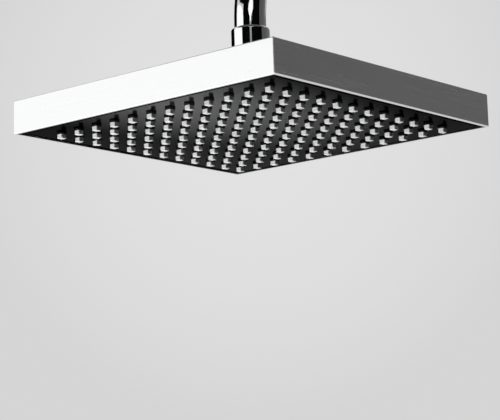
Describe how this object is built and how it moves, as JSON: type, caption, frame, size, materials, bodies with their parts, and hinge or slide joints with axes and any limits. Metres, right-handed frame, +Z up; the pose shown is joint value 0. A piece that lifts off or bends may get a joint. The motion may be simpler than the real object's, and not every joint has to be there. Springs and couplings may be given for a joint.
{
  "type": "overhead shower with wall arm",
  "caption": "Square overhead rain shower with a grid of soft nozzles, hung by a tilting ball joint from a curved wall arm with a sliding cover flange.",
  "frame": {"origin": "on the arm's axis where it meets the wall, at the start of the inlet thread", "axes": "+Y into the wall along the inlet thread, +Z up, +X to the right of someone facing the wall"},
  "size_m": [0.25, 0.49, 0.2395],
  "materials": {
    "chrome": "polished",
    "brass": "satin",
    "steel": "satin",
    "black_rubber": "matte",
    "white_plastic": "satin",
    "grey_plastic": "satin",
    "pale_silicone": "matte",
    "dark_plate": "gloss"
  },
  "bodies": {
    "arm": {"arm_tube": "chrome", "wall_nipple": "brass", "outlet_nipple": "brass", "ball_connector": "chrome", "inlet_washer": "black_rubber", "filter_screen": "steel", "flow_regulator": "white_plastic", "regulator_ring": "black_rubber"},
    "flange": {"wall_flange": "chrome", "flange_grip_ring": "black_rubber"},
    "upper_seat": {"upper_seat_ring": "white_plastic"},
    "lower_seat": {"lower_seat_ring": "white_plastic", "ball_o_ring": "black_rubber"},
    "head": {"retaining_nut": "chrome", "seat_spring": "steel", "inlet_socket": "brass", "socket_washer": "black_rubber", "shell": "chrome", "collar_gasket": "black_rubber", "water_tray": "grey_plastic", "diffuser_disc": "white_plastic", "nozzle_mat": "pale_silicone", "face_plate": "dark_plate", "perimeter_seal": "black_rubber", "tray_screws": "steel", "shell_spacers": "black_rubber"}
  },
  "joints": [
    {"name": "flange_slide", "type": "slide", "parent": "arm", "child": "flange", "axis": [0, -1, 0], "range_m": [0, 0.2]},
    {"name": "neck_swivel", "type": "hinge", "parent": "arm", "child": "upper_seat", "pos_m": [0, -0.35, -0.16484], "axis": [0, 0, 1], "continuous": true},
    {"name": "head_tilt", "type": "hinge", "parent": "upper_seat", "child": "lower_seat", "pos_m": [0, -0.35, -0.16484], "axis": [1, 0, 0], "range_deg": [-15, 15]},
    {"name": "head_spin", "type": "hinge", "parent": "lower_seat", "child": "head", "pos_m": [0, -0.35, -0.16484], "axis": [0, 0, 1], "continuous": true}
  ]
}
